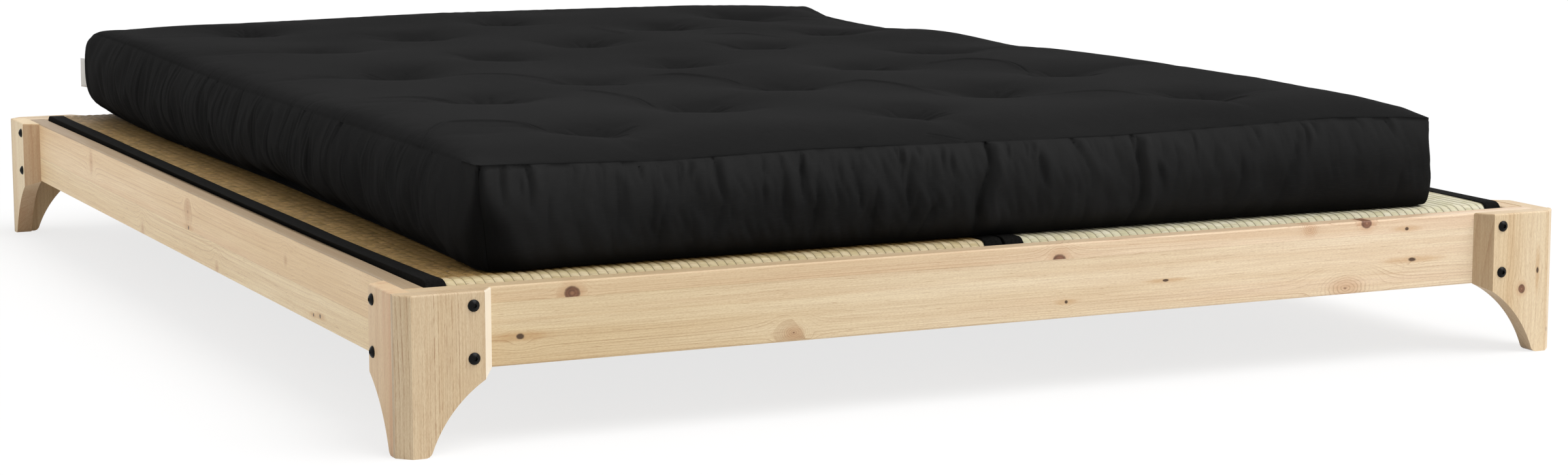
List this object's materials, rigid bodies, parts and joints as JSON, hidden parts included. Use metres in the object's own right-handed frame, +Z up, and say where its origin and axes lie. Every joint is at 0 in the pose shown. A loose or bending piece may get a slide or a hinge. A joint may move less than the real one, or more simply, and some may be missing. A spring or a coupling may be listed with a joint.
{
  "type": "futon bed",
  "caption": "Low pine platform bed: arched corner legs bolted to rails, slats, woven rush mats with black borders, and a tufted black futon mattress.",
  "frame": {"origin": "on the floor at the middle of the frame", "axes": "+X to the right seen from the foot end, +Y from the foot end to the head end, +Z up"},
  "size_m": [1.7242, 2.1242, 0.3613],
  "materials": {
    "pine": "sanded, clear matt oil, fine grain and small knots",
    "support_pine": "planed, unfinished",
    "slat_spruce": "planed, unfinished",
    "beech": "turned, unfinished",
    "black_steel": "black, half gloss",
    "zinc_steel": "zinc plated",
    "galvanised_steel": "galvanised sheet, matt",
    "webbing": "woven cotton tape",
    "straw": "pressed rice straw",
    "back_cloth": "woven backing",
    "rush": "woven rush, dry and slightly glossy",
    "border_cloth": "black cotton twill",
    "black_cotton": "black cotton, matt",
    "batting": "carded cotton",
    "coir": "pressed coconut fibre",
    "tuft_thread": "waxed cord",
    "tag_cloth": "plain white tape"
  },
  "bodies": {
    "frame": {"front_left_leg_end_board": "pine", "front_left_leg_side_board": "pine", "front_right_leg_end_board": "pine", "front_right_leg_side_board": "pine", "back_left_leg_end_board": "pine", "back_left_leg_side_board": "pine", "back_right_leg_end_board": "pine", "back_right_leg_side_board": "pine", "front_rail": "pine", "back_rail": "pine", "left_rail": "pine", "right_rail": "pine", "leg_bolts": "black_steel", "sleeve_nuts": "zinc_steel", "leg_dowels": "beech", "left_cleat": "support_pine", "right_cleat": "support_pine", "cleat_screws": "zinc_steel", "centre_beam": "support_pine", "front_beam_hanger": "galvanised_steel", "back_beam_hanger": "galvanised_steel", "hanger_screws": "zinc_steel", "centre_leg": "support_pine", "centre_leg_screws": "zinc_steel", "left_slat_tape": "webbing", "right_slat_tape": "webbing", "tape_staples": "zinc_steel", "slat_screws": "zinc_steel", "slat_1": "slat_spruce", "slat_2": "slat_spruce", "slat_3": "slat_spruce", "slat_4": "slat_spruce", "slat_5": "slat_spruce", "slat_6": "slat_spruce", "slat_7": "slat_spruce", "slat_8": "slat_spruce", "slat_9": "slat_spruce", "slat_10": "slat_spruce", "slat_11": "slat_spruce", "slat_12": "slat_spruce", "slat_13": "slat_spruce", "slat_14": "slat_spruce"},
    "mats": {"left_mat_core": "straw", "left_mat_back_sheet": "back_cloth", "left_mat_rush_cover": "rush", "left_mat_outer_border": "border_cloth", "left_mat_inner_border": "border_cloth", "right_mat_core": "straw", "right_mat_back_sheet": "back_cloth", "right_mat_rush_cover": "rush", "right_mat_outer_border": "border_cloth", "right_mat_inner_border": "border_cloth"},
    "mattress": {"mattress_top_panel": "black_cotton", "mattress_side_band": "black_cotton", "mattress_bottom_panel": "black_cotton", "mattress_upper_batting": "batting", "mattress_core": "coir", "mattress_lower_batting": "batting", "tuft_threads": "tuft_thread", "mattress_tag": "tag_cloth"}
  },
  "joints": [
    {"name": "mats_lift", "type": "slide", "parent": "frame", "child": "mats", "axis": [0, 0, 1], "range_m": [0, 0.2]},
    {"name": "mattress_lift", "type": "slide", "parent": "mats", "child": "mattress", "axis": [0, 0, 1], "range_m": [0, 0.3]}
  ]
}
